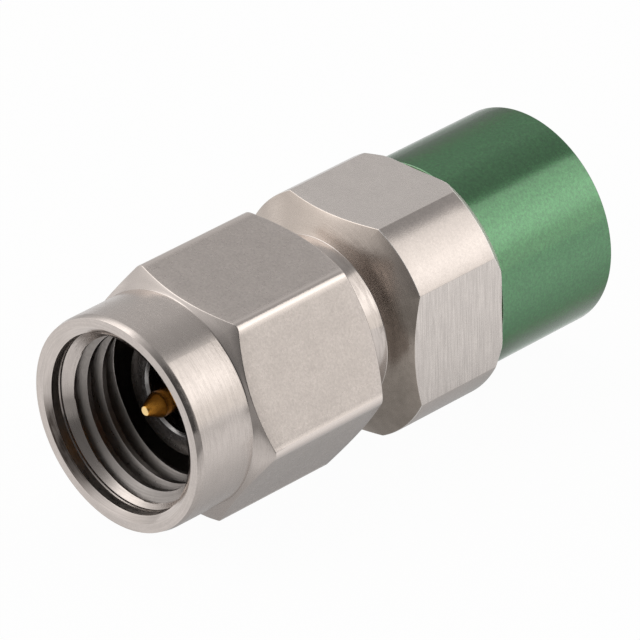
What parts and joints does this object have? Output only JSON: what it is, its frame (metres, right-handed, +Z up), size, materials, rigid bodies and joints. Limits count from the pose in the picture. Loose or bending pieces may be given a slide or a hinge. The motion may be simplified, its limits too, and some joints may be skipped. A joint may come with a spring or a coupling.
{
  "type": "coaxial termination",
  "caption": "Precision coaxial termination: male plug with centre pin inside a free hexagon coupling nut, flatted steel body and turned rear cap.",
  "frame": {"origin": "centre of the plug's mating face, the reference plane of the interface", "axes": "+Y from the mating face to the rear cap, along the common axis; +Z up as it lies on its side, square to one pair of the body's spanner flats; the plug faces -Y"},
  "size_m": [0.009, 0.0199, 0.0086],
  "materials": {
    "nut_steel": "passivated, ground flats",
    "body_steel": "passivated, milled flats, polished neck",
    "plug_steel": "fine turned",
    "gold_plate": "gold plated",
    "brass": "turned",
    "spring_bronze": "rolled",
    "spring_steel": "rolled",
    "bead_plastic": "natural",
    "ceramic": "fired ceramic with film",
    "green_anodised": "green anodised, fine turned"
  },
  "bodies": {
    "termination": {"body": "body_steel", "retaining_ring": "spring_bronze", "plug_sleeve": "plug_steel", "centre_pin": "gold_plate", "support_bead": "bead_plastic", "pin_socket": "gold_plate", "load_sleeve": "brass", "resistor_rod": "ceramic", "ground_collet": "gold_plate", "disc_spring": "spring_steel", "ground_plug": "brass", "rear_cap": "green_anodised"},
    "nut": {"coupling_nut": "nut_steel"}
  },
  "joints": [
    {"name": "nut_spin", "type": "hinge", "parent": "termination", "child": "nut", "pos_m": [0, 0.001, 0], "axis": [0, 1, 0], "continuous": true}
  ]
}
